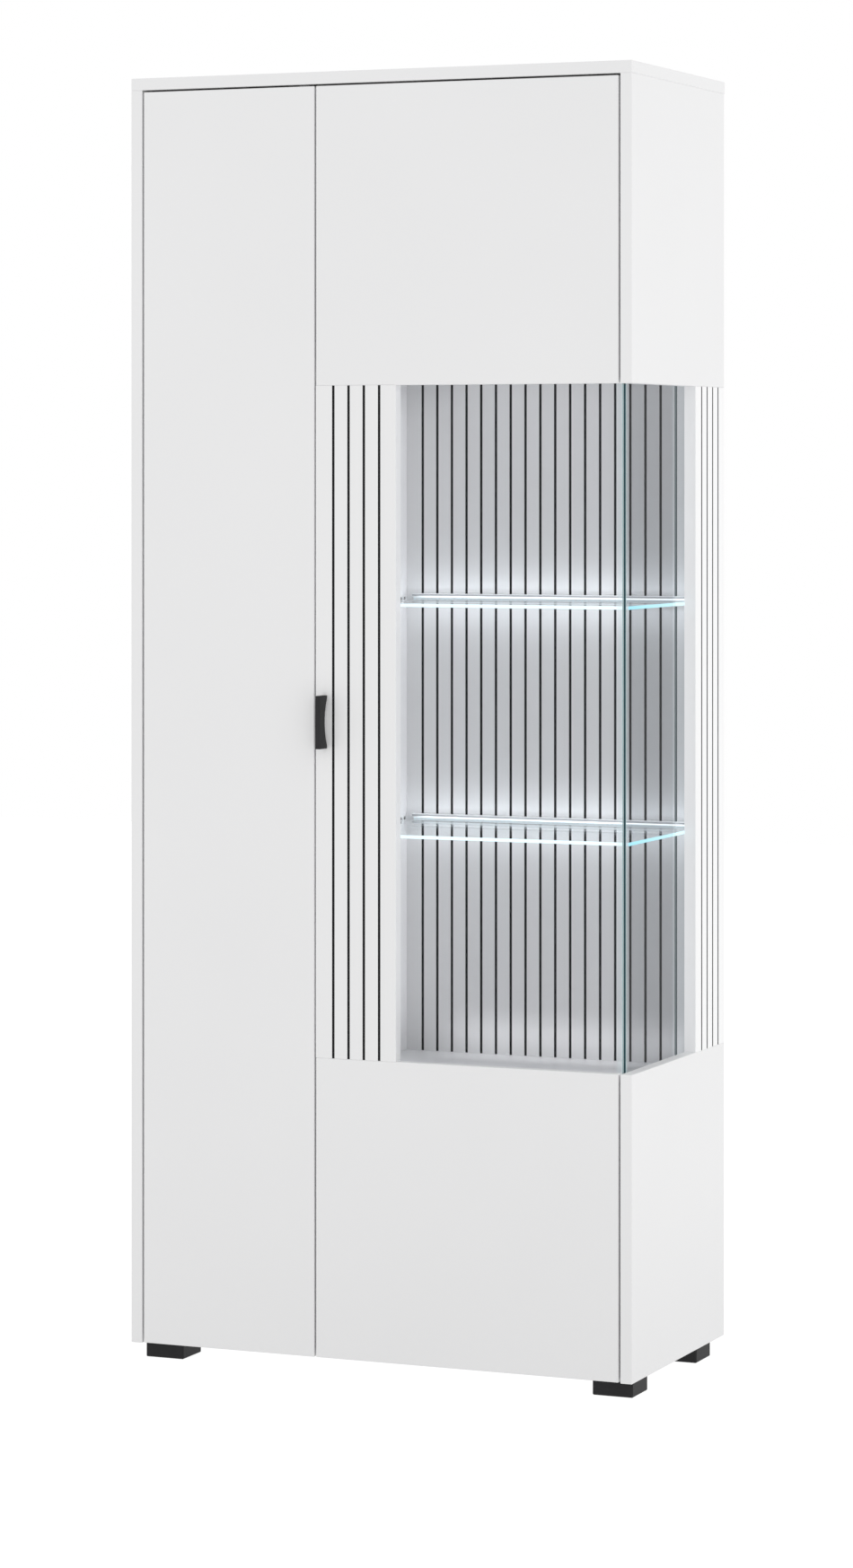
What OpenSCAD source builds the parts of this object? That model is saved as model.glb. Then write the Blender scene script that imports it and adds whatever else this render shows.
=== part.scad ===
// Tall china cabinet: a closet behind a plain left door and, on the right, a lit display with
// glass round its front corner between two closed compartments. The doors sit between the side
// panels and turn on concealed cup hinges.
// The origin is on the floor, under the middle of the whole cabinet with its handle, and the
// doors face -Y. Inside the modules x runs from the left side, y from the doors' faces.

/* [Cabinet] */
// Width over the side panels
cabinet_w = 800; // [740:10:900]
// Depth of the side panels
side_d = 400; // [370:5:450]
// Height with the feet
cabinet_h = 1921; // [1840:1:2040]
// Thickness of the laminated boards
board_t = 18; // [16:1:20]
// Thickness of the back sheets
back_t = 3; // [2.5:0.5:5]
// Bevel on the edges of the boards that show
edge_bevel = 0.8; // [0.3:0.1:1.5]

/* [Feet] */
// Side of the square feet
foot_w = 62; // [50:2:70]
// Height of the feet
foot_h = 26; // [20:1:50]
// From the cabinet's sides to the feet
foot_side_inset = 10; // [0:1:30]
// From the doors' faces to the front feet
foot_front_inset = 30; // [10:1:40]
// From the back to the rear feet
foot_rear_inset = 35; // [10:1:40]

/* [Doors] */
// Width of the left door
left_door_w = 280; // [260:5:330]
// Gap round the doors and between them
door_gap = 3; // [2:0.25:4]
// From the underside of the sides up to the underside of the doors
door_rise = 1; // [0:0.5:3]
// From the doors' backs to the edges of the boards that they close on
stop_gap = 2; // [1:0.5:4]
// How far the left door laps over the divider's edge
divider_lap = 33.5; // [28:0.5:40]

/* [Window] */
// From the underside of the sides up to the window
window_rise = 442.5; // [400:2.5:520]
// Height of the window in the door and in the side
window_h = 990; // [900:5:1040]
// Thickness of the window glass
glass_t = 4; // [3:0.5:6]
// How far the window glass laps behind the boards round it
glass_lap = 20; // [12:1:24]
// Gap between the door's glass and the side's glass
corner_gap = 2; // [1.5:0.25:4]

/* [Slatted boards] */
// Width of the slatted strips beside the window
strip_w = 128; // [115:1:145]
// From one groove to the next
groove_pitch = 24.5; // [20:0.5:32]
// From a strip's plain edge to the middle of its first groove
first_groove = 28; // [24:0.5:34]
// From the divider to the middle of the back panel's first groove
back_first_groove = 27; // [20:0.5:34]
// Width of the grooves
groove_w = 4; // [3:0.25:6]
// Depth of the grooves
groove_depth = 2; // [1.5:0.25:4]
// Thickness of the dark inlay on the floor of each groove
inlay_t = 0.6; // [0.4:0.1:1]
// Radius on the strips' edge at the window
strip_edge_r = 1; // [0.5:0.5:8]

/* [Display] */
// From the window's edges to the display's floor and to its ceiling
display_margin = 34.5; // [30:0.5:50]
// Thickness of the glass shelves
shelf_glass_t = 6; // [5:1:8]
// From the display's floor to the top of the lower glass shelf
lower_shelf_rise = 363; // [300:1:400]
// From one glass shelf's top to the next one's
glass_shelf_pitch = 341; // [280:1:360]
// From the doors' faces to the front edge of the glass shelves
glass_shelf_setback = 49; // [40:1:120]
// From the slatted back panel to the back edge of the glass shelves
glass_shelf_back_gap = 8; // [7:0.5:20]
// Gap at the ends of all loose shelves
shelf_end_gap = 1; // [0.5:0.25:2]
// From the divider to the left end of the light bars
light_bar_inset = 15; // [11:1:40]
// How far the light bars stand over the top of the glass
light_bar_over = 5; // [3.5:0.5:7]
// How far the light bars hang under the glass
light_bar_under = 4; // [3:0.5:6]

/* [Closed compartments] */
// Number of spaces one above the other in the closet
closet_spaces = 5; // [4:1:5]
// From the doors' faces to the front edge of the loose wooden shelves
loose_shelf_setback = 40; // [30:1:60]

/* [Handle] */
// Length of the handle
handle_l = 78; // [70:1:110]
// Width of the handle
handle_w = 8; // [7:0.5:12]
// How far the handle stands out of the door
handle_reach = 26; // [22:0.5:34]
// Depth of the finger hollow behind the handle
handle_hollow = 8.5; // [6:0.25:12]
// Length of the seat at each end of the handle
handle_seat = 3.5; // [3:0.25:6]
// From the strip's plain edge to the middle of the handle
handle_inset = 14; // [10:0.5:16]

/* [Hinges] */
// Diameter of the hinge cups
cup_d = 35; // [26:1:36]
// Depth of the cups' bores in the doors
cup_depth = 12.5; // [11:0.25:13]
// From a door's hinged edge to the middle of the cups
cup_inset = 22.5; // [21:0.5:26]
// From a door's ends to its outermost cups
cup_end = 100; // [80:5:120]
// From the window to the cups nearest to it
cup_window_gap = 90; // [80:2:110]

/* [Hidden] */

$fn = 48;
fit = 0.15;  // radial play of what sits loose in a bore
past = 1;    // how far a cutter runs past the face that it opens

white = [0.93, 0.93, 0.94];
ink = [0.13, 0.13, 0.14];
steel = [0.72, 0.73, 0.75];
clear_glass = [0.72, 0.88, 0.88, 0.4];
birch = [0.80, 0.66, 0.45];
glow = [0.97, 0.99, 1];

// --- Levels and lines that several pieces share ---
body_z = foot_h;                                    // underside of the sides
top_z = cabinet_h - board_t;                        // underside of the top panel
window_z = body_z + window_rise;
window_top = window_z + window_h;
display_floor = window_z - display_margin;          // top face of the display's floor board
display_ceiling = window_top + display_margin;      // underside of its ceiling board
door_z = body_z + door_rise;
door_top = top_z - door_gap;
total_d = side_d + back_t;
inner_l = board_t;                                  // faces of the sides inside
inner_r = cabinet_w - board_t;
left_door_x = inner_l + door_gap;
left_door_end = left_door_x + left_door_w;
right_door_x = left_door_end + door_gap;
right_door_end = inner_r - door_gap;
divider_l = left_door_end - divider_lap;
divider_r = divider_l + board_t;
divider_mid = (divider_l + divider_r) / 2;
door_back = board_t;                                // y of the doors' back faces
stop_y = door_back + stop_gap;                      // front edges of the boards behind the doors
display_y = door_back + glass_t + corner_gap;       // front edges of the boards behind the glass
back_panel_y = side_d - board_t;                    // face of the slatted back panel
strip_y = side_d - strip_w;                         // front edge of the side's slatted strip
lower_shelf_top = display_floor + lower_shelf_rise;
glass_shelf_tops = [lower_shelf_top, lower_shelf_top + glass_shelf_pitch];

// Puts what is drawn from the cabinet's left front corner into the frame
module placed()
    translate([-cabinet_w / 2, (handle_reach - total_d) / 2, 0])
        children();

// --- Boards ---
module board(from, to)
    translate(from) cube(to - from);

module bevelled_rectangle(w, h, bevel)
    polygon([[bevel, 0], [w - bevel, 0], [w, bevel], [w, h - bevel],
        [w - bevel, h], [bevel, h], [0, h - bevel], [0, bevel]]);

// A board whose edges are all bevelled, for the ones that show
module bevelled_board(from, to, bevel = edge_bevel) {
    size = to - from;
    translate(from)
        intersection() {
            linear_extrude(size.z) bevelled_rectangle(size.x, size.y, bevel);
            rotate([90, 0, 90]) linear_extrude(size.x) bevelled_rectangle(size.y, size.z, bevel);
            translate([0, size.y, 0]) rotate([90, 0, 0])
                linear_extrude(size.y) bevelled_rectangle(size.x, size.z, bevel);
        }
}

// --- Cam joints between boards ---
// A joint is where one board's end meets another board's face: [x, z, turn, flip]. Turn swings
// the bolt from +Z towards that face, and flip puts the cam lock in the board's other side.
to_left = -90;
to_right = 90;
to_top = 0;
to_bottom = 180;

closet_pitch = (top_z - body_z) / closet_spaces;
closet_shelf_z = [for (k = [1:closet_spaces - 1]) body_z + k * closet_pitch];
fixed_k = 1;                                        // which closet shelf is the fixed one
fixed_shelf_z = closet_shelf_z[fixed_k];
loose_shelf_z = [for (k = [0:closet_spaces - 2]) if (k != fixed_k) closet_shelf_z[k]];
upper_shelf_z = (display_ceiling + top_z) / 2;

bottom_mid = body_z + board_t / 2;
floor_mid = display_floor - board_t / 2;
ceiling_mid = display_ceiling + board_t / 2;
fixed_mid = fixed_shelf_z + board_t / 2;

bottom_left = [inner_l, bottom_mid, to_left, 1];
bottom_right = [inner_r, bottom_mid, to_right, 0];
left_top = [board_t / 2, top_z, to_top, 0];
right_top = [cabinet_w - board_t / 2, top_z, to_top, 1];
divider_top = [divider_mid, top_z, to_top, 1];
divider_bottom = [divider_mid, body_z + board_t, to_bottom, 0];
floor_left = [divider_r, floor_mid, to_left, 1];
floor_right = [inner_r, floor_mid, to_right, 0];
ceiling_left = [divider_r, ceiling_mid, to_left, 0];
ceiling_right = [inner_r, ceiling_mid, to_right, 1];
fixed_left = [inner_l, fixed_mid, to_left, 1];
fixed_right = [divider_l, fixed_mid, to_right, 0];
all_joints = [bottom_left, bottom_right, left_top, right_top, divider_top, divider_bottom,
    floor_left, floor_right, ceiling_left, ceiling_right, fixed_left, fixed_right];

cam_d = 15;
cam_depth = 12.5;     // depth of the cam lock's bore
cam_back = 34;        // from the board's end to the middle of the cam lock
bolt_d = 6;
bolt_grip = 11;       // length of the bolt in the facing board
dowel_d = 8;
dowel_l = 30;
dowel_grip = 11;      // length of the dowel in the facing board
joint_inset = 110;    // from the front and from the back to the bolts
dowel_step = 32;      // from each bolt to the dowel beside it
bolt_ys = [joint_inset, side_d - joint_inset];
dowel_ys = [joint_inset + dowel_step, side_d - joint_inset - dowel_step];

module at_joints(joints, ys)
    for (joint = joints, y = ys)
        translate([joint[0], y, joint[1]]) rotate([0, joint[2], 0])
            mirror([joint[3], 0, 0])
                children();

module cam_lock_at(joints, d, depth, over)
    at_joints(joints, bolt_ys)
        translate([board_t / 2 - depth, 0, -cam_back]) rotate([0, 90, 0])
            cylinder(d = d, h = depth + over);

module cam_bolt_at(joints, d)
    at_joints(joints, bolt_ys)
        translate([0, 0, cam_d / 2 - cam_back])
            cylinder(d = d, h = cam_back - cam_d / 2 + bolt_grip);

module dowel_at(joints)
    at_joints(joints, dowel_ys)
        translate([0, 0, dowel_grip - dowel_l])
            cylinder(d = dowel_d, h = dowel_l);

module joint_bores(joints) {
    cam_lock_at(joints, cam_d, cam_depth, past);
    cam_bolt_at(joints, bolt_d);
    dowel_at(joints);
}

// --- Loose shelves' pins ---
pin_d = 5;
pin_grip = 8;         // length of a pin in the board
pin_reach = 8;        // length of a pin under the shelf
pin_plate = [pin_reach, 10, 3];
pin_step = 32;        // from one bore to the next in a row
pin_from_edge = 37;   // from a loose shelf's front and back edges to its pins
loose_shelf_end = side_d - 12;
function pins_under(front) = [front + pin_from_edge, loose_shelf_end - pin_from_edge];
pin_ys = pins_under(loose_shelf_setback);

// A pin under a shelf, with +X out of the board's face and the shelf's underside at z 0
module shelf_pin() {
    translate([-pin_grip, 0, 1 - pin_d / 2 - pin_plate.z]) rotate([0, 90, 0])
        cylinder(d = pin_d, h = pin_grip + pin_reach);
    translate([0, -pin_plate.y / 2, -pin_plate.z]) cube(pin_plate);
}

// Pin bores under a shelf, with spare ones a step up and a step down
module pin_bores(x, shelf_z, ys, steps = [-1, 0, 1])
    for (y = ys, step = steps)
        translate([x - pin_grip, y, shelf_z + step * pin_step + 1 - pin_d / 2 - pin_plate.z])
            rotate([0, 90, 0]) cylinder(d = pin_d, h = 2 * pin_grip);

// --- Glass shelf supports ---
glass_pin_front = 75;
side_pin_y = strip_y + glass_lap + 45;   // on the strip, behind the side's glass
grommet_ys = [back_panel_y - 23, back_panel_y - 9];
grommet_d = 4;
grommet_head_d = 5;
grommet_head_t = 0.5;

module glass_pin_bores(x, ys)
    for (top = glass_shelf_tops)
        pin_bores(x, top - shelf_glass_t, ys, [0]);

module grommet_bores()
    for (top = glass_shelf_tops, y = grommet_ys)
        translate([divider_l - past, y, top - shelf_glass_t / 2]) rotate([0, 90, 0])
            cylinder(d = grommet_d, h = board_t + 2 * past);

// --- Hinges ---
// Drawn round the middle of a cup on the door's back face, with +X towards the door's middle,
// +Y into the cabinet and the side panel's face at side_x.
side_x = -(cup_inset + door_gap);
cup_wall = 1;
cup_floor_gap = 0.5;
flange_t = 1.2;
flange_rim = 2;
flange_ear = [16, 62];
cup_screw_x = 9.5;
cup_screw_z = 24;
cup_screw_d = 3.4;
cup_screw_head = [7, 1.6];
cup_screw_grip = 11;
plate_y = 37;              // from the door's back to the plate's screws
plate_wing = [2.5, 15, 48];
plate_spine = [7, 44, 14.4];
plate_screw_z = 16;
plate_screw_d = 4;
plate_screw_head = [7.5, 1.8];
plate_screw_grip = 11;
arm_h = 17.6;
arm_wall = 1.4;
arm_back = 64;             // from the door's back to the arm's rear end
arm_pin_d = 3;
arm_pins = [[3, 7.5], [-4.5, 10.5]];
arm_screw_ys = [38, 52];
left_cups = [for (k = [0:3]) door_z + cup_end + k * (door_top - door_z - 2 * cup_end) / 3];
right_lower_cups = [door_z + cup_end, window_z - cup_window_gap];
right_upper_cups = [window_top + cup_window_gap, door_top - cup_end];
right_cups = concat(right_lower_cups, right_upper_cups);

// The upper loose shelf starts behind the hinges, so that it passes them at any height
upper_shelf_front = door_back + arm_back + 3;
upper_pin_ys = pins_under(upper_shelf_front);

module at_left_hinges(zs = left_cups)
    for (z = zs)
        translate([left_door_x + cup_inset, door_back, z])
            children();

module at_right_hinges(zs = right_cups)
    for (z = zs)
        translate([right_door_end - cup_inset, door_back, z]) mirror([1, 0, 0])
            children();

module along_y(d, from, to)
    translate([0, to, 0]) rotate([90, 0, 0])
        cylinder(d = d, h = to - from);

module along_x(d, from, to)
    translate([from, 0, 0]) rotate([0, 90, 0])
        cylinder(d = d, h = to - from);

module cup_bores() {
    along_y(cup_d, -cup_depth, past);
    for (side = [-1, 1])
        translate([cup_screw_x, 0, side * cup_screw_z]) along_y(cup_screw_d, -cup_screw_grip, past);
}

module hinge_cup() {
    outer = cup_d - 2 * fit;
    difference() {
        union() {
            along_y(outer, cup_floor_gap - cup_depth, flange_t);
            along_y(outer + 2 * flange_rim, 0, flange_t);
            translate([cup_screw_x - flange_ear.x / 2, 0, -flange_ear.y / 2])
                cube([flange_ear.x, flange_t, flange_ear.y]);
        }
        along_y(outer - 2 * cup_wall, cup_floor_gap - cup_depth + cup_wall, flange_t + past);
        for (side = [-1, 1])
            translate([cup_screw_x, 0, side * cup_screw_z])
                along_y(cup_screw_d, -past, flange_t + past);
    }
}

module cup_screws()
    for (side = [-1, 1])
        translate([cup_screw_x, 0, side * cup_screw_z]) {
            along_y(cup_screw_d, -cup_screw_grip, flange_t);
            along_y(cup_screw_head[0], flange_t, flange_t + cup_screw_head[1]);
        }

module plate_screw_bores(from)
    for (side = [-1, 1])
        translate([side_x, plate_y, side * plate_screw_z])
            along_x(plate_screw_d, from, plate_wing.x + past);

module hinge_plate()
    difference() {
        translate([side_x, plate_y, 0]) {
            translate([0, -plate_wing.y / 2, -plate_wing.z / 2]) cube(plate_wing);
            translate([0, -plate_spine.y / 2, -plate_spine.z / 2]) cube(plate_spine);
        }
        plate_screw_bores(-past);
    }

module plate_screws()
    for (side = [-1, 1])
        translate([side_x, plate_y, side * plate_screw_z]) {
            along_x(plate_screw_d, -plate_screw_grip, plate_wing.x);
            along_x(plate_screw_head[0], plate_wing.x, plate_wing.x + plate_screw_head[1]);
        }

// Outline of the cranked arm, from its rear end over the plate to its nose in front of the cup
arm_outline = [[side_x + 3.5, arm_back], [side_x + 16, arm_back], [side_x + 16, 30], [6, 12], [9, 3.5],
    [-7, 3.5], [side_x + 9, 16], [side_x + 3.5, 24]];

module hinge_arm() {
    difference() {
        translate([0, 0, -arm_h / 2]) linear_extrude(arm_h) polygon(arm_outline);
        translate([-arm_wall, 0, arm_wall - arm_h / 2])
            linear_extrude(arm_h - 2 * arm_wall) polygon(arm_outline);
    }
    for (pin = arm_pins)
        translate([pin.x, pin.y, -arm_h / 2 - arm_wall / 2])
            cylinder(d = arm_pin_d, h = arm_h + arm_wall);
    for (y = arm_screw_ys)
        translate([0, y, 0]) along_x(6, side_x + 16 - arm_wall / 2, side_x + 17.2);
}

// --- Slatted boards ---
strip_edge_land = 20;
strip_grooves = [for (k = [0:floor((strip_w - strip_edge_land - first_groove) / groove_pitch)])
    first_groove + k * groove_pitch];
back_panel_w = inner_r - divider_r;
back_edge_land = 3;
back_grooves = [for (k = [0:floor((back_panel_w - back_edge_land - back_first_groove) / groove_pitch)])
    back_first_groove + k * groove_pitch];

// Section of a slatted board: x from its first edge, y from its face to its back
module slatted_section(w, grooves, edge_r)
    difference() {
        square([w, board_t]);
        for (x = grooves)
            translate([x - groove_w / 2, -past]) square([groove_w, groove_depth + past]);
        if (edge_r > 0)
            translate([w - edge_r, 0]) difference() {
                translate([0, -past]) square([edge_r + past, edge_r + past]);
                translate([0, edge_r]) circle(r = edge_r);
            }
    }

module inlay_section(grooves)
    for (x = grooves)
        translate([x - groove_w / 2, groove_depth - inlay_t]) square([groove_w, inlay_t]);

module on_door_strip()
    translate([right_door_x, 0, window_z]) linear_extrude(window_h)
        children();

module on_side_strip()
    translate([cabinet_w, side_d, window_z]) mirror([1, 0, 0]) rotate([0, 0, -90])
        linear_extrude(window_h)
            children();

module on_back_panel()
    translate([divider_r, back_panel_y, display_floor])
        linear_extrude(display_ceiling - display_floor)
            children();

strip_dowel_l = 40;
strip_dowel_inset = 35;
strip_dowels = [strip_dowel_inset, strip_w - strip_dowel_inset];

// Dowels up through both ends of a strip, where along says how far they are from its plain edge
module strip_dowels_at(ends = [window_z, window_top])
    for (along = strip_dowels, z = ends)
        translate([along, board_t / 2, z - strip_dowel_l / 2])
            cylinder(d = dowel_d, h = strip_dowel_l);

module door_strip_dowels_at()
    translate([right_door_x, 0, 0]) strip_dowels_at();

module side_strip_dowels_at()
    translate([cabinet_w, side_d, 0]) mirror([1, 0, 0]) rotate([0, 0, -90]) strip_dowels_at();

// --- Window glass and its clips ---
glass_bevel = 0.5;
glass_z = window_z - glass_lap;
glass_top = window_top + glass_lap;
door_glass_x = right_door_x + strip_w - glass_lap;
side_glass_end = strip_y + glass_lap;
clip_l = 14;
clip_foot = 9;
clip_lip = 6;
clip_t = 1.8;
clip_top = glass_t + clip_t;
clip_screw_d = 3;
clip_screw_head = [6, 1.6];
clip_screw_grip = 11;
clip_zs = [window_z + window_h * 0.25, window_z + window_h * 0.75];
side_clip_ys = [display_y + 60, strip_y - 30];
door_clip_xs = [door_glass_x + 80, right_door_end - 80];

// The clips' places: the glass's edge at y 0, +X off the board's face and +Y over the glass
module at_side_clips() {
    for (y = side_clip_ys) {
        translate([inner_r, y, glass_z]) rotate([90, 0, 180]) children();
        translate([inner_r, y, glass_top]) rotate([-90, 0, 180]) children();
    }
    for (z = clip_zs)
        translate([inner_r, side_glass_end, z]) rotate([0, 0, 180]) children();
}

module at_door_clips() {
    for (x = door_clip_xs) {
        translate([x, door_back, glass_z]) rotate([90, 0, 90]) children();
        translate([x, door_back, glass_top]) rotate([-90, 0, 90]) children();
    }
    for (z = clip_zs)
        translate([door_glass_x, door_back, z]) mirror([0, 1, 0]) rotate([0, 0, -90]) children();
}

module clip_screw_bore()
    translate([0, -clip_foot / 2, 0]) {
        along_x(clip_screw_d, -clip_screw_grip, clip_top);
        along_x(clip_screw_head[0] + 2 * fit, clip_top - clip_screw_head[1], clip_top + past);
    }

module clip_screw()
    translate([0, -clip_foot / 2, 0]) {
        along_x(clip_screw_d, -clip_screw_grip, clip_top - clip_screw_head[1] / 2);
        along_x(clip_screw_head[0], clip_top - clip_screw_head[1], clip_top);
    }

module glass_clip()
    difference() {
        translate([0, 0, -clip_l / 2]) linear_extrude(clip_l)
            polygon([[0, -clip_foot], [clip_top, -clip_foot], [clip_top, clip_lip],
                [glass_t, clip_lip], [glass_t, 0], [0, 0]]);
        clip_screw_bore();
    }

// --- Handle ---
handle_x = right_door_x + handle_inset;
handle_z = window_z + window_h / 2;
hollow_l = handle_l - 2 * handle_seat;
hollow_r = (pow(hollow_l / 2, 2) + pow(handle_hollow, 2)) / (2 * handle_hollow);
handle_edge_r = 1.5;
handle_screw_d = 4;
handle_screw_head = [8, 2.4];
handle_screw_grip = 12;
handle_screw_zs = [for (side = [-1, 1]) handle_z + side * (hollow_l / 2 - 3)];

module handle_screw_bores(from, to, d = handle_screw_d)
    for (z = handle_screw_zs)
        translate([handle_x, 0, z]) along_y(d, from, to);

// --- Feet ---
foot_bevel = 1.5;
foot_screw_d = 4.5;
foot_screw_head = [9, 3];
foot_screw_l = foot_h - 10;   // depth of the counterbore under each screw's head
foot_screw_grip = 13;
foot_screw_step = 14;
foot_xs = [foot_side_inset, cabinet_w - foot_side_inset - foot_w];
foot_ys = [foot_front_inset, side_d - foot_rear_inset - foot_w];

module at_feet()
    for (x = foot_xs, y = foot_ys)
        translate([x, y, 0])
            children();

module at_foot_screws()
    at_feet()
        for (side = [-1, 1])
            translate([foot_w / 2 + side * foot_screw_step, foot_w / 2, 0])
                children();

module foot_screw_bores()
    at_foot_screws()
        cylinder(d = foot_screw_d, h = foot_h + foot_screw_grip);

// --- Carcass ---
module top_panel()
    placed() color(white)
        difference() {
            bevelled_board([0, 0, top_z], [cabinet_w, total_d, cabinet_h]);
            joint_bores([left_top, right_top, divider_top]);
        }

module bottom_panel()
    placed() color(white)
        difference() {
            board([inner_l, stop_y, body_z], [inner_r, side_d, body_z + board_t]);
            joint_bores([bottom_left, bottom_right, divider_bottom]);
            foot_screw_bores();
        }

module left_side_panel()
    placed() color(white)
        difference() {
            bevelled_board([0, 0, body_z], [board_t, side_d, top_z]);
            joint_bores([bottom_left, left_top, fixed_left]);
            for (z = loose_shelf_z) pin_bores(inner_l, z, pin_ys);
            at_left_hinges() plate_screw_bores(-plate_screw_grip);
        }

module right_side_lower_panel()
    placed() color(white)
        difference() {
            bevelled_board([inner_r, 0, body_z], [cabinet_w, side_d, window_z]);
            joint_bores([bottom_right, floor_right]);
            side_strip_dowels_at();
            at_side_clips() clip_screw_bore();
            at_right_hinges(right_lower_cups) plate_screw_bores(-plate_screw_grip);
        }

module right_side_upper_panel()
    placed() color(white)
        difference() {
            bevelled_board([inner_r, 0, window_top], [cabinet_w, side_d, top_z]);
            joint_bores([right_top, ceiling_right]);
            side_strip_dowels_at();
            at_side_clips() clip_screw_bore();
            pin_bores(inner_r, upper_shelf_z, upper_pin_ys);
            at_right_hinges(right_upper_cups) plate_screw_bores(-plate_screw_grip);
        }

module right_side_slatted_strip()
    placed() color(white)
        difference() {
            on_side_strip() slatted_section(strip_w, strip_grooves, strip_edge_r);
            side_strip_dowels_at();
            glass_pin_bores(inner_r, [side_pin_y]);
            at_side_clips() clip_screw_bore();
        }

module side_strip_inlays()
    placed() color(ink)
        on_side_strip() inlay_section(strip_grooves);

module side_glass()
    placed() color(clear_glass)
        bevelled_board([inner_r - glass_t, display_y, glass_z], [inner_r, side_glass_end, glass_top],
            glass_bevel);

module side_glass_clips()
    placed() color(white)
        at_side_clips() glass_clip();

module side_glass_clip_screws()
    placed() color(steel)
        at_side_clips() clip_screw();

module divider_panel()
    placed() color(white)
        difference() {
            bevelled_board([divider_l, stop_y, body_z + board_t], [divider_r, side_d, top_z]);
            joint_bores([divider_top, divider_bottom, floor_left, ceiling_left, fixed_right]);
            for (z = loose_shelf_z) pin_bores(divider_l, z, pin_ys);
            pin_bores(divider_r, upper_shelf_z, upper_pin_ys);
            glass_pin_bores(divider_r, [glass_pin_front, side_pin_y]);
            grommet_bores();
        }

module display_floor_board()
    placed() color(white)
        difference() {
            board([divider_r, display_y, display_floor - board_t], [inner_r, side_d, display_floor]);
            joint_bores([floor_left, floor_right]);
        }

module display_ceiling_board()
    placed() color(white)
        difference() {
            board([divider_r, display_y, display_ceiling],
                [inner_r, side_d, display_ceiling + board_t]);
            joint_bores([ceiling_left, ceiling_right]);
        }

module display_back_panel()
    placed() color(white)
        on_back_panel() slatted_section(back_panel_w, back_grooves, 0);

module back_panel_inlays()
    placed() color(ink)
        on_back_panel() inlay_section(back_grooves);

back_inset = 2;       // from the cabinet's outline to the back sheets
back_seam = 1;        // gap between the sheets, behind the divider

module closet_back_sheet()
    placed() color([0.90, 0.90, 0.89])
        board([back_inset, side_d, body_z + back_inset],
            [divider_mid - back_seam / 2, total_d, top_z]);

module display_back_sheet()
    placed() color([0.90, 0.90, 0.89])
        board([divider_mid + back_seam / 2, side_d, body_z + back_inset],
            [cabinet_w - back_inset, total_d, top_z]);

// --- Wooden shelves ---
module closet_fixed_shelf()
    placed() color(white)
        difference() {
            board([inner_l, stop_y, fixed_shelf_z], [divider_l, side_d, fixed_shelf_z + board_t]);
            joint_bores([fixed_left, fixed_right]);
        }

module loose_shelf(left, right, z, front = loose_shelf_setback)
    bevelled_board([left + shelf_end_gap, front, z],
        [right - shelf_end_gap, loose_shelf_end, z + board_t]);

module closet_loose_shelves()
    placed() color(white)
        for (z = loose_shelf_z) loose_shelf(inner_l, divider_l, z);

module upper_loose_shelf()
    placed() color(white)
        loose_shelf(divider_r, inner_r, upper_shelf_z, upper_shelf_front);

module loose_shelf_pins()
    placed() color(steel) {
        for (y = pin_ys, z = loose_shelf_z) {
            translate([inner_l, y, z]) shelf_pin();
            translate([divider_l, y, z]) mirror([1, 0, 0]) shelf_pin();
        }
        for (y = upper_pin_ys) {
            translate([divider_r, y, upper_shelf_z]) shelf_pin();
            translate([inner_r, y, upper_shelf_z]) mirror([1, 0, 0]) shelf_pin();
        }
    }

// --- Glass shelves and their lights ---
glass_shelf_l = divider_r + shelf_end_gap;
glass_shelf_r = inner_r - glass_t - shelf_end_gap;
glass_shelf_end = back_panel_y - glass_shelf_back_gap;
bar_wall = 0.8;
bar_lip = 1.2;        // lips that hold the glass
bar_front = glass_shelf_end - 6;
bar_back = glass_shelf_end + 4;

module glass_shelf(top)
    bevelled_board([glass_shelf_l, glass_shelf_setback, top - shelf_glass_t],
        [glass_shelf_r, glass_shelf_end, top], glass_bevel);

module lower_glass_shelf()
    placed() color(clear_glass)
        glass_shelf(glass_shelf_tops[0]);

module upper_glass_shelf()
    placed() color(clear_glass)
        glass_shelf(glass_shelf_tops[1]);

module glass_shelf_supports()
    placed() color(steel)
        for (top = glass_shelf_tops) {
            for (y = [glass_pin_front, side_pin_y])
                translate([divider_r, y, top - shelf_glass_t]) shelf_pin();
            translate([inner_r, side_pin_y, top - shelf_glass_t]) mirror([1, 0, 0]) shelf_pin();
        }

// Draws a section along both light bars: x from the back edge of the shelf towards the room
// behind it, y from the underside of the glass
module along_light_bars()
    for (top = glass_shelf_tops)
        translate([divider_r + light_bar_inset, glass_shelf_end, top - shelf_glass_t])
            rotate([90, 0, 90])
                linear_extrude(glass_shelf_r - divider_r - light_bar_inset)
                    children();

module light_bar_channels()
    placed() color(steel)
        along_light_bars() {
            low = -light_bar_under;
            high = shelf_glass_t + light_bar_over;
            depth = bar_back - glass_shelf_end;
            translate([0, low]) square([depth, high - low]);
            for (y = [low, high - bar_wall])
                translate([bar_front - glass_shelf_end, y])
                    square([bar_back - bar_front, bar_wall]);
            for (y = [-bar_lip, shelf_glass_t])
                translate([bar_front - glass_shelf_end, y])
                    square([bar_back - bar_front, bar_lip]);
        }

module light_bar_diffusers()
    placed() color(glow)
        along_light_bars() {
            depth = glass_shelf_end - bar_front;
            translate([-depth, bar_wall - light_bar_under])
                square([depth, light_bar_under - bar_wall - bar_lip]);
            translate([-depth, shelf_glass_t + bar_lip])
                square([depth, light_bar_over - bar_wall - bar_lip]);
        }

module light_lead_grommets()
    placed() color(ink)
        for (top = glass_shelf_tops, y = grommet_ys)
            translate([divider_r, y, top - shelf_glass_t / 2]) {
                along_x(grommet_d, -board_t, 0);
                along_x(grommet_head_d, 0, grommet_head_t);
            }

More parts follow.
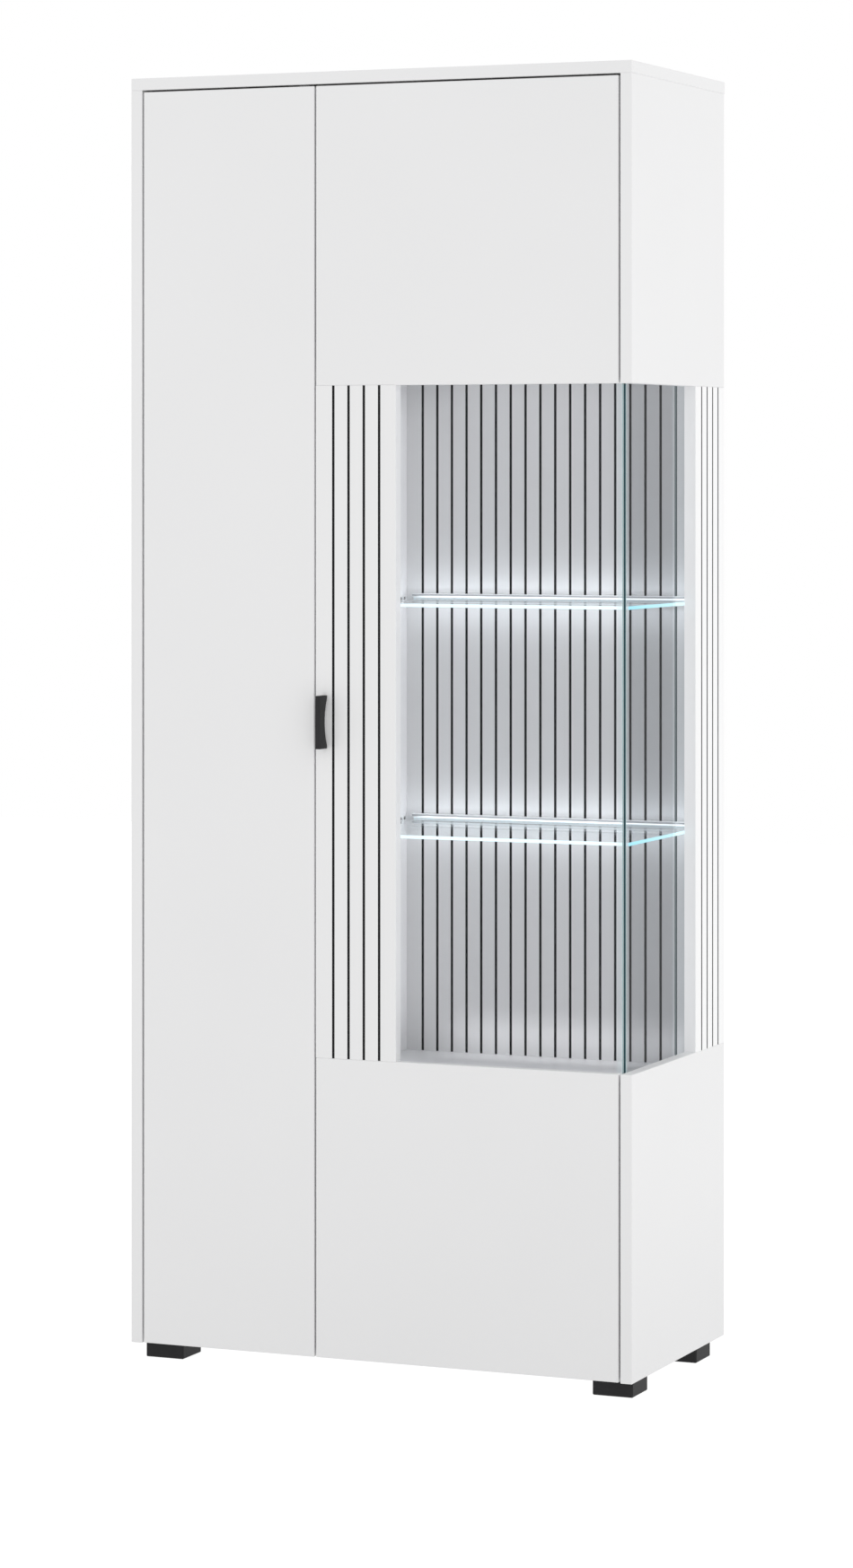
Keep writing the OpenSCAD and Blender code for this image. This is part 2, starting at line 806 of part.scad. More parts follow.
// --- Joint fittings ---
module cam_locks()
    placed() color(steel)
        difference() {
            cam_lock_at(all_joints, cam_d, cam_depth, 0);
            at_joints(all_joints, bolt_ys)
                translate([board_t / 2 - 2, 0, -cam_back]) rotate([0, 90, 0]) {
                    translate([-3.5, -0.6, 0]) cube([7, 1.2, 2 + past]);
                    translate([-0.6, -3.5, 0]) cube([1.2, 7, 2 + past]);
                }
        }

module cam_bolts()
    placed() color(steel)
        cam_bolt_at(all_joints, bolt_d);

module board_dowels()
    placed() color(birch) {
        dowel_at(all_joints);
        side_strip_dowels_at();
    }

module feet()
    placed() color(ink)
        difference() {
            at_feet() bevelled_board([0, 0, 0], [foot_w, foot_w, foot_h], foot_bevel);
            foot_screw_bores();
            at_foot_screws()
                translate([0, 0, -past]) cylinder(d = foot_screw_head[0] + 2, h = foot_screw_l + past);
        }

module foot_screws()
    placed() color(steel)
        at_foot_screws() {
            translate([0, 0, foot_screw_l])
                cylinder(d = foot_screw_d, h = foot_h + foot_screw_grip - foot_screw_l);
            translate([0, 0, foot_screw_l - foot_screw_head[1]])
                cylinder(d = foot_screw_head[0], h = foot_screw_head[1]);
        }

// --- Hinges on the carcass ---
module left_hinge_plates()
    placed() color(steel)
        at_left_hinges() hinge_plate();

module left_hinge_arms()
    placed() color(steel)
        at_left_hinges() hinge_arm();

module right_hinge_plates()
    placed() color(steel)
        at_right_hinges() hinge_plate();

module right_hinge_arms()
    placed() color(steel)
        at_right_hinges() hinge_arm();

module hinge_plate_screws()
    placed() color(steel) {
        at_left_hinges() plate_screws();
        at_right_hinges() plate_screws();
    }

// --- Left door ---
module left_door_panel()
    placed() color(white)
        difference() {
            bevelled_board([left_door_x, 0, door_z], [left_door_end, door_back, door_top]);
            at_left_hinges() cup_bores();
        }

module left_hinge_cups()
    placed() color(steel)
        at_left_hinges() hinge_cup();

module left_cup_screws()
    placed() color(steel)
        at_left_hinges() cup_screws();

stop_d = 10;
stop_end = 60;        // from the door's ends to its stops

module left_door_stops()
    placed() color([0.85, 0.87, 0.88])
        for (z = [door_z + stop_end, door_top - stop_end])
            translate([divider_mid, 0, z]) along_y(stop_d, door_back, stop_y);

// --- Right door ---
module right_door_lower_panel()
    placed() color(white)
        difference() {
            bevelled_board([right_door_x, 0, door_z], [right_door_end, door_back, window_z]);
            at_right_hinges(right_lower_cups) cup_bores();
            door_strip_dowels_at();
            at_door_clips() clip_screw_bore();
        }

module right_door_upper_panel()
    placed() color(white)
        difference() {
            bevelled_board([right_door_x, 0, window_top], [right_door_end, door_back, door_top]);
            at_right_hinges(right_upper_cups) cup_bores();
            door_strip_dowels_at();
            at_door_clips() clip_screw_bore();
        }

module right_door_slatted_strip()
    placed() color(white)
        difference() {
            on_door_strip() slatted_section(strip_w, strip_grooves, strip_edge_r);
            door_strip_dowels_at();
            handle_screw_bores(-past, door_back + past);
            at_door_clips() clip_screw_bore();
        }

module door_strip_inlays()
    placed() color(ink)
        on_door_strip() inlay_section(strip_grooves);

module door_strip_dowels()
    placed() color(birch)
        door_strip_dowels_at();

module door_glass()
    placed() color(clear_glass)
        bevelled_board([door_glass_x, door_back, glass_z],
            [right_door_end, door_back + glass_t, glass_top], glass_bevel);

module door_glass_clips()
    placed() color(white)
        at_door_clips() glass_clip();

module door_glass_clip_screws()
    placed() color(steel)
        at_door_clips() clip_screw();

module right_hinge_cups()
    placed() color(steel)
        at_right_hinges() hinge_cup();

module right_cup_screws()
    placed() color(steel)
        at_right_hinges() cup_screws();

module right_door_stops()
    placed() color([0.85, 0.87, 0.88])
        for (x = [right_door_x + stop_end, right_door_end - stop_end])
            translate([x, 0, bottom_mid]) along_y(stop_d, door_back, stop_y);

module handle()
    placed() color(ink)
        difference() {
            translate([handle_x - handle_w / 2, 0, handle_z]) rotate([90, 0, 90])
                linear_extrude(handle_w)
                    difference() {
                        translate([-handle_reach, -handle_l / 2]) square([handle_reach, handle_l]);
                        translate([hollow_r - handle_hollow, 0]) circle(r = hollow_r, $fn = 180);
                    }
            for (side = [0, 1])
                translate([handle_x, -handle_reach, handle_z]) mirror([side, 0, 0])
                    translate([handle_w / 2 - handle_edge_r, 0, -handle_l / 2 - past])
                        linear_extrude(handle_l + 2 * past)
                            difference() {
                                translate([0, -past])
                                    square([handle_edge_r + past, handle_edge_r + past]);
                                translate([0, handle_edge_r]) circle(r = handle_edge_r);
                            }
            handle_screw_bores(-handle_screw_grip, past);
        }

module handle_screws()
    placed() color(steel) {
        handle_screw_bores(-handle_screw_grip, door_back);
        handle_screw_bores(door_back, door_back + handle_screw_head[1], handle_screw_head[0]);
    }

top_panel();
bottom_panel();
left_side_panel();
right_side_lower_panel();
right_side_upper_panel();
right_side_slatted_strip();
side_strip_inlays();
side_glass();
side_glass_clips();
side_glass_clip_screws();
divider_panel();
display_floor_board();
display_ceiling_board();
display_back_panel();
back_panel_inlays();
closet_back_sheet();
display_back_sheet();
closet_fixed_shelf();
closet_loose_shelves();
upper_loose_shelf();
loose_shelf_pins();
lower_glass_shelf();
upper_glass_shelf();
glass_shelf_supports();
light_bar_channels();
light_bar_diffusers();
light_lead_grommets();
cam_locks();
cam_bolts();
board_dowels();
feet();
foot_screws();
left_hinge_plates();
left_hinge_arms();
right_hinge_plates();
right_hinge_arms();
hinge_plate_screws();
left_door_panel();
left_hinge_cups();
left_cup_screws();
left_door_stops();
right_door_lower_panel();
right_door_upper_panel();
right_door_slatted_strip();
door_strip_inlays();
door_strip_dowels();
door_glass();
door_glass_clips();
door_glass_clip_screws();
right_hinge_cups();
right_cup_screws();
right_door_stops();
handle();
handle_screws();
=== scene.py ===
import math

import bmesh
import bpy
from mathutils import Matrix, Vector


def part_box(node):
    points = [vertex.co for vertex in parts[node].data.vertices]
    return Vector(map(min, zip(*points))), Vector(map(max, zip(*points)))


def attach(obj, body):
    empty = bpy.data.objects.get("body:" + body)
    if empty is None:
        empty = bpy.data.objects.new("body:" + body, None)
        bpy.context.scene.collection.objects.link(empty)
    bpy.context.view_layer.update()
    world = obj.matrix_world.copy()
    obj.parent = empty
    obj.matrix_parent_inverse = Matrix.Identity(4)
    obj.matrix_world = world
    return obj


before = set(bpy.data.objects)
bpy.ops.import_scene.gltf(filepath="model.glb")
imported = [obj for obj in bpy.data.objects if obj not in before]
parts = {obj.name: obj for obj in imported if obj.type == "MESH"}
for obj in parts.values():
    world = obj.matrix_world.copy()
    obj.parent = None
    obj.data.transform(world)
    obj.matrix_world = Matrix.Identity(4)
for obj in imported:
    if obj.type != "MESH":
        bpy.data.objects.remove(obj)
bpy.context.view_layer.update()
scene = bpy.context.scene
mm = 0.001

# Level camera, to the cabinet's right, with a shift that keeps the sides upright
cameraSet = {
    "lens": 102.85,
    "sensor": 36.0,
    "place": (2.632, -6.2015, 1.335),
    "turn": 22.99,
    "shift": -0.2006,
    "reach": 60,
}


def addCamera():
    lens = bpy.data.cameras.new("camera")
    lens.lens = cameraSet["lens"]
    lens.sensor_width = cameraSet["sensor"]
    lens.shift_y = cameraSet["shift"]
    lens.clip_end = cameraSet["reach"]
    camera = bpy.data.objects.new("camera", lens)
    camera.location = cameraSet["place"]
    camera.rotation_euler = (math.radians(90), 0, math.radians(cameraSet["turn"]))
    scene.collection.objects.link(camera)
    scene.camera = camera


# Shader nodes
def add(tree, kind, values=None, **settings):
    made = tree.nodes.new("ShaderNode" + kind)
    for key, value in settings.items():
        setattr(made, key, value)
    for key, value in (values or {}).items():
        if isinstance(value, bpy.types.NodeSocket):
            tree.links.new(value, made.inputs[key])
        else:
            made.inputs[key].default_value = value
    return made


def newFinish(name):
    finish = bpy.data.materials.new(name)
    finish.use_nodes = True
    finish.node_tree.nodes.clear()
    return finish, finish.node_tree


def show(tree, shader):
    end = tree.nodes.new("ShaderNodeOutputMaterial")
    tree.links.new(shader.outputs[0], end.inputs["Surface"])


def objectPlace(tree):
    return add(tree, "TexCoord").outputs["Object"]


def objectNormal(tree):
    return add(tree, "TexCoord").outputs["Normal"]


def axes(tree, vector):
    return add(tree, "SeparateXYZ", {"Vector": vector}).outputs


def maths(tree, operation, a, b=0.0, c=0.0):
    return add(tree, "Math", {0: a, 1: b, 2: c}, operation=operation).outputs[0]


def span(tree, value, low, high, start=0.0, end=1.0):
    return add(tree, "MapRange", {"Value": value, "From Min": low, "From Max": high,
                                  "To Min": start, "To Max": end}).outputs["Result"]


def blend(tree, share, first, second):
    return add(tree, "Mix", {0: share, 2: first, 3: second}).outputs[0]


def blendColour(tree, share, first, second):
    return add(tree, "Mix", {0: share, 6: first, 7: second}, data_type="RGBA").outputs[2]


def grain(tree, place, scale, detail=2.0, stretch=None):  # noise between 0 and 1
    if stretch:
        place = add(tree, "Mapping", {"Vector": place, "Scale": stretch}).outputs[0]
    return add(tree, "TexNoise", {"Vector": place, "Scale": scale, "Detail": detail}).outputs["Fac"]


# Most of a noise lies in its middle, which is spread between two values
noiseMiddle = (0.3, 0.7)


def grainSpan(tree, noise, ends):
    return span(tree, noise, *noiseMiddle, *ends)


def relief(tree, height, depth):
    return add(tree, "Bump", {"Height": height, "Distance": depth, "Strength": 1.0}).outputs[0]


def darker(colour, share):
    return tuple(tone * share for tone in colour[:3]) + (1,)


def dress(finish, *names):
    for name in names:
        parts[name].data.materials.clear()
        parts[name].data.materials.append(finish)


addCamera()
print("camera placed")

# Satin white laminate, with a fine pearl that only shows close up
laminateSet = {
    "colour": (0.86, 0.86, 0.863, 1),
    "cloud": (0.83, 0.83, 0.834, 1),
    "cloudScale": 3.0,
    "pearlScale": 1400.0,
    "pearlDetail": 1.0,
    "pearlDepth": 0.04 * mm,
    "roughness": (0.36, 0.46),
    "gloss": 0.45,
}


def laminate():
    finish, tree = newFinish("whiteLaminate")
    place = objectPlace(tree)
    cloud = grain(tree, place, laminateSet["cloudScale"])
    pearl = grain(tree, place, laminateSet["pearlScale"], laminateSet["pearlDetail"])
    show(tree, add(tree, "BsdfPrincipled", {
        "Base Color": blendColour(tree, cloud, laminateSet["colour"], laminateSet["cloud"]),
        "Roughness": grainSpan(tree, pearl, laminateSet["roughness"]),
        "Normal": relief(tree, pearl, laminateSet["pearlDepth"]),
        "Specular IOR Level": laminateSet["gloss"],
    }))
    return finish


# White lacquered slats, whose grooves are painted black from edge to edge. The side strip's copy is
# lighter as painted light, and the back panel's darker as painted shade
slatSet = {
    "front": (0.855, 0.855, 0.858, 1),
    # painted light: the side strip's copy of the lacquer is lighter
    "side": (0.93, 0.93, 0.933, 1),
    # painted shade: the back panel's copy of the lacquer is darker
    "back": (0.735, 0.735, 0.738, 1),
    "black": (0.012, 0.012, 0.014, 1),
    "roughness": (0.30, 0.40),
    "blackRoughness": 0.7,
    "edge": 0.15 * mm,
    "depth": 2.2 * mm,
}


# First and last side of the inlays along an axis, their width and their pitch
def grooveLines(inlays, axis):
    sides = sorted({round(v.co[axis], 5) for v in parts[inlays].data.vertices})
    return sides[0], sides[-1], sides[1] - sides[0], sides[2] - sides[0]


def slats(name, inlays, axis, face, inward, colour):
    first, last, width, pitch = grooveLines(inlays, axis)
    depthAxis = 1 - axis
    finish, tree = newFinish(name)
    place = objectPlace(tree)
    along = axes(tree, place)
    edge = slatSet["edge"]
    fromGroove = maths(tree, "WRAP", maths(tree, "SUBTRACT", along[axis], first + width / 2),
                       pitch / 2, -pitch / 2)
    inGroove = maths(tree, "LESS_THAN", maths(tree, "ABSOLUTE", fromGroove), width / 2 + edge)
    afterFirst = maths(tree, "GREATER_THAN", along[axis], first - width)
    beforeLast = maths(tree, "LESS_THAN", along[axis], last + width)
    deep = maths(tree, "MULTIPLY", maths(tree, "SUBTRACT", along[depthAxis], face), inward)
    below = maths(tree, "GREATER_THAN", deep, edge / 2)
    above = maths(tree, "LESS_THAN", deep, slatSet["depth"])
    black = inGroove
    for limit in (afterFirst, beforeLast, below, above):
        black = maths(tree, "MULTIPLY", black, limit)
    pearl = grain(tree, place, laminateSet["pearlScale"], laminateSet["pearlDetail"])
    show(tree, add(tree, "BsdfPrincipled", {
        "Base Color": blendColour(tree, black, colour, slatSet["black"]),
        "Roughness": maths(tree, "MAXIMUM", grainSpan(tree, pearl, slatSet["roughness"]),
                           maths(tree, "MULTIPLY", black, slatSet["blackRoughness"])),
        "Normal": relief(tree, pearl, laminateSet["pearlDepth"]),
        "Specular IOR Level": laminateSet["gloss"],
    }))
    return finish


def dressSlats():
    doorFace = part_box("right_door_slatted_strip")[0].y
    dress(slats("doorSlats", "door_strip_inlays", 0, doorFace, 1, slatSet["front"]),
          "right_door_slatted_strip")
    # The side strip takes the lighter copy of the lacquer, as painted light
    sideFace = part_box("right_side_slatted_strip")[1].x
    dress(slats("sideSlatsPaintedLight", "side_strip_inlays", 1, sideFace, -1, slatSet["side"]),
          "right_side_slatted_strip")
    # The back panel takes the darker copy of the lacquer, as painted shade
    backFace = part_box("display_back_panel")[0].y
    dress(slats("backSlatsPaintedShade", "back_panel_inlays", 0, backFace, 1, slatSet["back"]),
          "display_back_panel")


# Matt black paint in the grooves
grooveSet = {
    "colour": (0.011, 0.011, 0.013, 1),
    "dust": (0.018, 0.018, 0.02, 1),
    "dustScale": 220.0,
    "roughness": 0.75,
    "gloss": 0.25,
}


def groovePaint():
    finish, tree = newFinish("groovePaint")
    dust = grain(tree, objectPlace(tree), grooveSet["dustScale"])
    show(tree, add(tree, "BsdfPrincipled", {
        "Base Color": blendColour(tree, dust, grooveSet["colour"], grooveSet["dust"]),
        "Roughness": grooveSet["roughness"],
        "Specular IOR Level": grooveSet["gloss"],
    }))
    return finish


# Mirroring of clear glass: the share straight on, which grows with the slant, and its polish
mirrorSet = {"straight": 0.034, "power": 5.0, "roughness": 0.02}
# Window glass: clear panes, teal edges, bevels painted paler as a highlight, and a painted sheen that
# glows beside the corner
windowSet = {
    "clear": (0.968, 0.969, 0.977, 1),
    "slanted": (0.80, 0.805, 0.818, 1),
    # painted highlight: bevels are coloured paler than the edges
    "bevel": (0.40, 0.58, 0.60, 1),
    "sideEdge": (0.022, 0.060, 0.072, 1),
    "doorEdge": (0.34, 0.42, 0.44, 1),
    # painted sheen: colour of the glow laid along the pane's corner edge
    "paintedSheen": (0.62, 0.78, 0.82, 1),
    "sheenWidth": 12 * mm,
    "sheenShare": 0.10,
    # painted light: past the band's start the side pane looks paler and glows faintly
    "pale": (0.93, 0.93, 0.94, 1),
    "paleWide": 40 * mm,
    "paleShare": 0.05,
    # painted highlight: a thin bright glowing line where the pale band starts
    "paleLine": 2 * mm,
    "lineShare": 0.2,
    "mirror": 0.2,
    "slantSpan": (0.25, 0.6),
    "bevelFrom": 0.4,
    "paneFrom": 0.9,
    "rimScale": 900.0,
    "rimRoughness": (0.12, 0.2),
}


def slantOf(tree):
    return add(tree, "LayerWeight", {"Blend": 0.5}).outputs["Facing"]


def mirrorShare(tree, strength):
    straight = mirrorSet["straight"]
    return maths(tree, "MULTIPLY_ADD", maths(tree, "POWER", slantOf(tree), mirrorSet["power"]),
                 (1 - straight) * strength, straight * strength)


def paneSurface(tree, glass, slanted):
    slant = span(tree, slantOf(tree), *glass["slantSpan"])
    through = add(tree, "BsdfTransparent", {"Color": blendColour(tree, slant, glass["clear"], slanted)})
    gloss = add(tree, "BsdfGlossy", {"Color": (1, 1, 1, 1), "Roughness": mirrorSet["roughness"]})
    return add(tree, "MixShader", {0: mirrorShare(tree, glass["mirror"]), 1: through.outputs[0],
                                   2: gloss.outputs[0]})


# The painted sheen at edgeAt is a glow, even over half its width and then fading. Past paleFrom the
# pane is paler and glows faintly as painted light, with a painted bright line where that band starts
def windowGlass(name, axis, edgeAt, edge, paleFrom=None):
    finish, tree = newFinish(name)
    facing = maths(tree, "ABSOLUTE", axes(tree, objectNormal(tree))[axis])
    place = axes(tree, objectPlace(tree))[1 - axis]
    slanted = windowSet["slanted"]
    nearEdge = maths(tree, "ABSOLUTE", maths(tree, "SUBTRACT", place, edgeAt))
    paintedGlowShare = span(tree, nearEdge, windowSet["sheenWidth"], 0, 0, windowSet["sheenShare"] * 2)
    paintedGlowShare = maths(tree, "MINIMUM", paintedGlowShare, windowSet["sheenShare"])
    if paleFrom is not None:
        pale = maths(tree, "GREATER_THAN", place, paleFrom)
        line = maths(tree, "COMPARE", place, paleFrom, windowSet["paleLine"])
        slanted = blendColour(tree, pale, slanted, windowSet["pale"])
        paintedGlowShare = maths(tree, "MAXIMUM", paintedGlowShare, maths(tree, "MULTIPLY", pale, windowSet["paleShare"]))
        paintedGlowShare = maths(tree, "MAXIMUM", paintedGlowShare, maths(tree, "MULTIPLY", line, windowSet["lineShare"]))
    pane = paneSurface(tree, windowSet, slanted)
    # The painted sheen glows along the corner edge, and over the pale band
    paintedSheen = add(tree, "Emission", {"Color": windowSet["paintedSheen"]})
    pane = add(tree, "MixShader", {0: paintedGlowShare, 1: pane.outputs[0], 2: paintedSheen.outputs[0]})
    # Rims are teal, and the bevels are painted paler as a highlight
    rim = add(tree, "BsdfPrincipled", {
        "Base Color": blendColour(tree, maths(tree, "GREATER_THAN", facing, windowSet["bevelFrom"]),
                                  edge, windowSet["bevel"]),
        "Roughness": grainSpan(tree, grain(tree, objectPlace(tree), windowSet["rimScale"]),
                               windowSet["rimRoughness"]),
    })
    isPane = maths(tree, "GREATER_THAN", facing, windowSet["paneFrom"])
    show(tree, add(tree, "MixShader", {0: isPane, 1: rim.outputs[0], 2: pane.outputs[0]}))
    return finish


# Shelf glass: its edges carry the light that enters from the bar at the back
shelfSet = {
    "clear": (0.975, 0.985, 0.987, 1),
    "slanted": (0.97, 0.985, 0.987, 1),
    "front": (0.94, 1.0, 1.0, 1),
    "back": (0.95, 0.975, 1.0, 1),
    "sideNear": (0.35, 0.79, 0.91, 1),
    "sideFar": (0.80, 0.98, 1.0, 1),
    "frontGlow": 1.0,
    "sideGlow": 1.4,
    "backGlow": 0.68,
    "lineGlow": 0.4,
    "line": 1.6 * mm,
    "rim": 0.7 * mm,
    "mirror": 0.3,
    "slantSpan": (0.4, 0.9),
    "body": (0.10, 0.26, 0.30, 1),
    "roughness": 0.15,
}


def overShelf(tree, z):  # height above the top of the nearer glass shelf
    lower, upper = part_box("lower_glass_shelf")[1].z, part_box("upper_glass_shelf")[1].z
    second = maths(tree, "GREATER_THAN", z, (lower + upper) / 2)
    return maths(tree, "SUBTRACT", maths(tree, "SUBTRACT", z, lower),
                 maths(tree, "MULTIPLY", second, upper - lower))


# The lit rims are told by their place. The left end, and the rear edge before the bar, stay clear
def shelfGlass():
    finish, tree = newFinish("shelfGlass")
    low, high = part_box("lower_glass_shelf")
    level = maths(tree, "ABSOLUTE", axes(tree, objectNormal(tree))[2])
    place = axes(tree, objectPlace(tree))
    back = span(tree, place[1], low.y, high.y)
    toLeft = maths(tree, "LESS_THAN", place[0], low.x + shelfSet["rim"])
    toRight = maths(tree, "GREATER_THAN", place[0], high.x - shelfSet["rim"])
    toFront = maths(tree, "LESS_THAN", place[1], low.y + shelfSet["rim"])
    toBack = maths(tree, "GREATER_THAN", place[1], high.y - shelfSet["rim"])
    line = maths(tree, "GREATER_THAN", overShelf(tree, place[2]), -shelfSet["line"])
    glow = maths(tree, "MULTIPLY_ADD", maths(tree, "MULTIPLY", toBack, line),
                 shelfSet["lineGlow"], shelfSet["backGlow"])
    glow = blend(tree, toFront, glow, shelfSet["frontGlow"])
    glow = blend(tree, toRight, glow, shelfSet["sideGlow"])
    long = blendColour(tree, toBack, shelfSet["front"], shelfSet["back"])
    sides = blendColour(tree, back, shelfSet["sideNear"], shelfSet["sideFar"])
    rim = add(tree, "BsdfPrincipled", {
        "Base Color": shelfSet["body"],
        "Roughness": shelfSet["roughness"],
        "Emission Color": blendColour(tree, toRight, long, sides),
        "Emission Strength": glow,
    })
    pane = paneSurface(tree, shelfSet, shelfSet["slanted"])
    bare = maths(tree, "LESS_THAN", place[0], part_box("light_bar_channels")[0].x)
    bare = maths(tree, "MAXIMUM", toLeft, maths(tree, "MULTIPLY", bare, toBack))
    isPane = maths(tree, "MAXIMUM", maths(tree, "GREATER_THAN", level, 0.5), bare)
    show(tree, add(tree, "MixShader", {0: isPane, 1: rim.outputs[0], 2: pane.outputs[0]}))
    return finish


# Light bars: opal diffusers, brightest along the glass, dim where the light tape has not begun
barSet = {
    "bright": 1.15,
    "far": 0.06,
    "under": 0.50,
    # painted highlight: how strongly the channel's top lip glows
    "paintedLipHighlight": 0.40,
    "topLip": 4.0 * mm,
    "falls": (1.1 * mm, 1.7 * mm),
    "colour": (0.93, 0.98, 1.0, 1),
    "opal": (0.30, 0.31, 0.32, 1),
    "opalRoughness": 0.4,
    "diodeScale": 60.0,
    "diodes": (0.94, 1.0),
    "dimLeft": (4 * mm, 26 * mm),
    "dimRight": (2 * mm, 8 * mm),
}


def barGlow(tree):
    low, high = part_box("light_bar_diffusers")
    place = axes(tree, objectPlace(tree))
    left = span(tree, place[0], low.x + barSet["dimLeft"][0], low.x + barSet["dimLeft"][1])
    right = span(tree, place[0], high.x - barSet["dimRight"][0], high.x - barSet["dimRight"][1])
    over = overShelf(tree, place[2])
    glow = span(tree, over, *barSet["falls"], barSet["bright"], barSet["far"])
    under = maths(tree, "LESS_THAN", over, 0.0)
    glow = blend(tree, under, glow, barSet["under"])
    return maths(tree, "MULTIPLY", maths(tree, "MULTIPLY", left, right), glow)


def diffuser():
    finish, tree = newFinish("diffuser")
    diodes = grainSpan(tree, grain(tree, objectPlace(tree), barSet["diodeScale"]), barSet["diodes"])
    show(tree, add(tree, "BsdfPrincipled", {
        "Base Color": barSet["opal"],
        "Roughness": barSet["opalRoughness"],
        "Emission Color": barSet["colour"],
        "Emission Strength": maths(tree, "MULTIPLY", barGlow(tree), diodes),
    }))
    return finish


# Brushed aluminium of the light bars. Its inner lips glow with painted light from the tape, and its top
# lip with a painted highlight
aluminiumSet = {
    "colours": ((0.80, 0.81, 0.83, 1), (0.69, 0.70, 0.71, 1)),
    "roughness": (0.30, 0.42),
    "lineScale": 900.0,
    "lineStretch": (0.02, 1, 1),
    "innerLip": 1.3 * mm,
}
# Fine lines in all metal, and the darker tone they give plated pieces
brushSet = {"detail": 3.0, "depth": 0.03 * mm, "dark": 0.86}


def barMetal():
    finish, tree = newFinish("aluminium")
    place = objectPlace(tree)
    lines = grain(tree, place, aluminiumSet["lineScale"], brushSet["detail"],
                  aluminiumSet["lineStretch"])
    over = overShelf(tree, axes(tree, place)[2])
    nearGlass = maths(tree, "COMPARE", over, 0.0, aluminiumSet["innerLip"])
    lit = maths(tree, "MULTIPLY", barGlow(tree), nearGlass)
    # The top lip glows as a painted highlight, and the inner lip by the glass with painted light
    topLip = maths(tree, "GREATER_THAN", over, barSet["topLip"])
    show(tree, add(tree, "BsdfPrincipled", {
        "Base Color": blendColour(tree, lines, *aluminiumSet["colours"]),
        "Metallic": 1.0,
        "Roughness": grainSpan(tree, lines, aluminiumSet["roughness"]),
        "Normal": relief(tree, lines, brushSet["depth"]),
        "Emission Color": barSet["colour"],
        "Emission Strength": maths(tree, "MULTIPLY_ADD", topLip, barSet["paintedLipHighlight"], lit),
    }))
    return finish


# Plated steel: nickel on hinges, pins and supports, zinc on cam locks, bright on bolts and screws
nickelSet = {"colour": (0.66, 0.65, 0.63, 1), "roughness": (0.22, 0.32), "scale": 300.0}
zincSet = {"colour": (0.55, 0.56, 0.57, 1), "roughness": (0.38, 0.5), "scale": 500.0}
steelSet = {"colour": (0.62, 0.62, 0.62, 1), "roughness": (0.25, 0.38), "scale": 700.0}


def metal(name, plating):
    finish, tree = newFinish(name)
    lines = grain(tree, objectPlace(tree), plating["scale"], brushSet["detail"])
    colour = plating["colour"]
    show(tree, add(tree, "BsdfPrincipled", {
        "Base Color": blendColour(tree, lines, colour, darker(colour, brushSet["dark"])),
        "Metallic": 1.0,
        "Roughness": grainSpan(tree, lines, plating["roughness"]),
        "Normal": relief(tree, lines, brushSet["depth"]),
    }))
    return finish


# Black powder coat on the handle
powderSet = {
    "colour": (0.016, 0.016, 0.017, 1),
    "roughness": (0.42, 0.58),
    "scale": 1500.0,
    "depth": 0.05 * mm,
}
# Moulded black plastic of the feet and grommets
mouldSet = {
    "colour": (0.015, 0.015, 0.016, 1),
    "roughness": (0.40, 0.55),
    "scale": 2200.0,
    "depth": 0.04 * mm,
}
# Wear that both black surfaces share
blackSet = {"cloudScale": 25.0, "worn": 1.5, "gloss": 0.22}


def blackCoat(name, coat):
    finish, tree = newFinish(name)
    place = objectPlace(tree)
    grit = grain(tree, place, coat["scale"])
    cloud = grain(tree, place, blackSet["cloudScale"])
    colour = coat["colour"]
    show(tree, add(tree, "BsdfPrincipled", {
        "Base Color": blendColour(tree, cloud, colour, darker(colour, blackSet["worn"])),
        "Roughness": grainSpan(tree, grit, coat["roughness"]),
        "Normal": relief(tree, grit, coat["depth"]),
        "Specular IOR Level": blackSet["gloss"],
    }))
    return finish


# Clear soft plastic of the clips and door stops
plasticSet = {
    "colours": ((0.80, 0.83, 0.84, 1), (0.72, 0.76, 0.78, 1)),
    "roughness": (0.18, 0.3),
    "scale": 300.0,
}


def softPlastic():
    finish, tree = newFinish("softPlastic")
    cloud = grain(tree, objectPlace(tree), plasticSet["scale"])
    show(tree, add(tree, "BsdfPrincipled", {
        "Base Color": blendColour(tree, cloud, *plasticSet["colours"]),
        "Roughness": grainSpan(tree, cloud, plasticSet["roughness"]),
    }))
    return finish


# Beech of the dowels, with its fibre along Z
beechSet = {
    "colours": ((0.62, 0.43, 0.25, 1), (0.42, 0.26, 0.13, 1)),
    "roughness": 0.6,
    "scale": 260.0,
    "detail": 4.0,
    "stretch": (1, 1, 0.08),
    "depth": 0.1 * mm,
}


def beech():
    finish, tree = newFinish("beech")
    fibre = grain(tree, objectPlace(tree), beechSet["scale"], beechSet["detail"],
                  beechSet["stretch"])
    show(tree, add(tree, "BsdfPrincipled", {
        "Base Color": blendColour(tree, fibre, *beechSet["colours"]),
        "Roughness": beechSet["roughness"],
        "Normal": relief(tree, fibre, beechSet["depth"]),
    }))
    return finish


# Hardboard: lacquered white inside, raw brown fibre on the back
hardboardSet = {
    "white": (0.80, 0.80, 0.80, 1),
    "smooth": 0.45,
    "rough": 0.75,
    "light": (0.42, 0.29, 0.18, 1),
    "dark": (0.25, 0.155, 0.085, 1),
    "fibre": (420.0, 5.0, (1, 1, 0.35)),  # scale, detail and stretch
    "cloud": (5.0, 3.0),  # scale and detail
    "cloudShare": 0.5,
    "fibreShare": 0.6,
    "mottle": (0.3, 0.8),
    "depth": 0.08 * mm,
}


